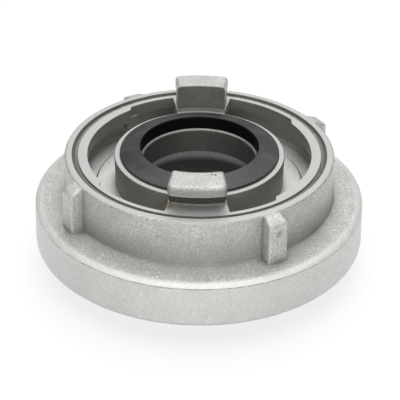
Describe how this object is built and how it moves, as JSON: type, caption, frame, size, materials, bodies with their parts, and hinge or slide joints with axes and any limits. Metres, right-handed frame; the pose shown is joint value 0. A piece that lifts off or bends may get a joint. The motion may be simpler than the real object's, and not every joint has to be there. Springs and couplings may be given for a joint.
{
  "type": "hose coupling reducer",
  "caption": "Cast reducer between two sizes of fire hose, with hooked quarter turn claws, ramped bands and a rubber pressure seal round the waterway at each end, and wrench ribs outside.",
  "frame": {"origin": "on the waterway's axis, in the plane of the large claws' tips, on which the reducer stands", "axes": "+Z along the waterway towards the small coupling, +Y away from the camera of the picture, +X to the picture's right, through one of the large claws"},
  "size_m": [0.126, 0.1258, 0.0553],
  "materials": {
    "cast_aluminium": "cast with a fine grain, turned where couplings meet",
    "seal_rubber": "satin"
  },
  "bodies": {
    "root": {"reducer_body": "cast_aluminium", "small_seal": "seal_rubber", "large_seal": "seal_rubber"}
  },
  "joints": []
}
